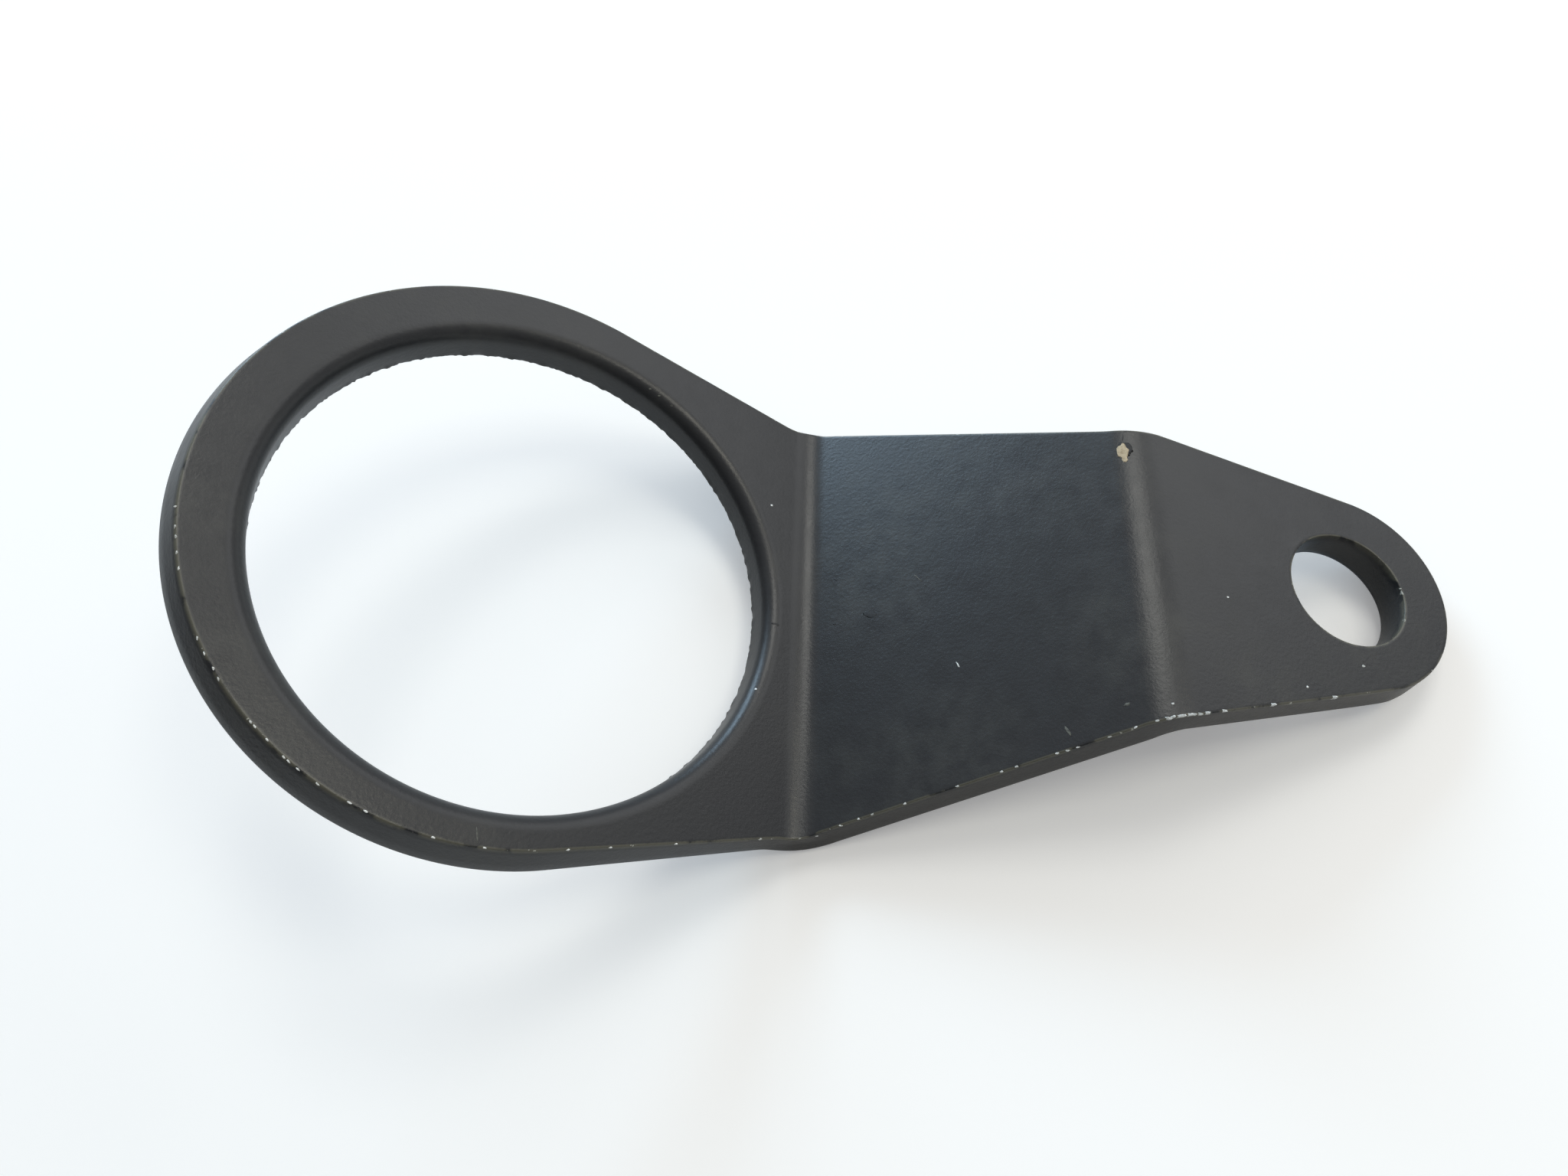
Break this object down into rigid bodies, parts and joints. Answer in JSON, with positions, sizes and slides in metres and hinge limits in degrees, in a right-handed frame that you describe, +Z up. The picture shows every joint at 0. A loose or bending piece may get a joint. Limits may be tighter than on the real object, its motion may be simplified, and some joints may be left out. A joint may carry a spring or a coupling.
{
  "type": "instrument bracket",
  "caption": "Folded steel bracket with a large round instrument bore at one end and a bolt tab at the other.",
  "frame": {"origin": "on the axis of the instrument bore, halfway up its straight wall", "axes": "+Z up from the ground it lies on; +X level, from the bore towards the tab; +Y to the left, along the folds"},
  "size_m": [0.1198, 0.0636, 0.0405],
  "materials": {
    "paint": "satin black paint with chips and worn edges"
  },
  "bodies": {
    "root": {"bracket": "paint"}
  },
  "joints": []
}
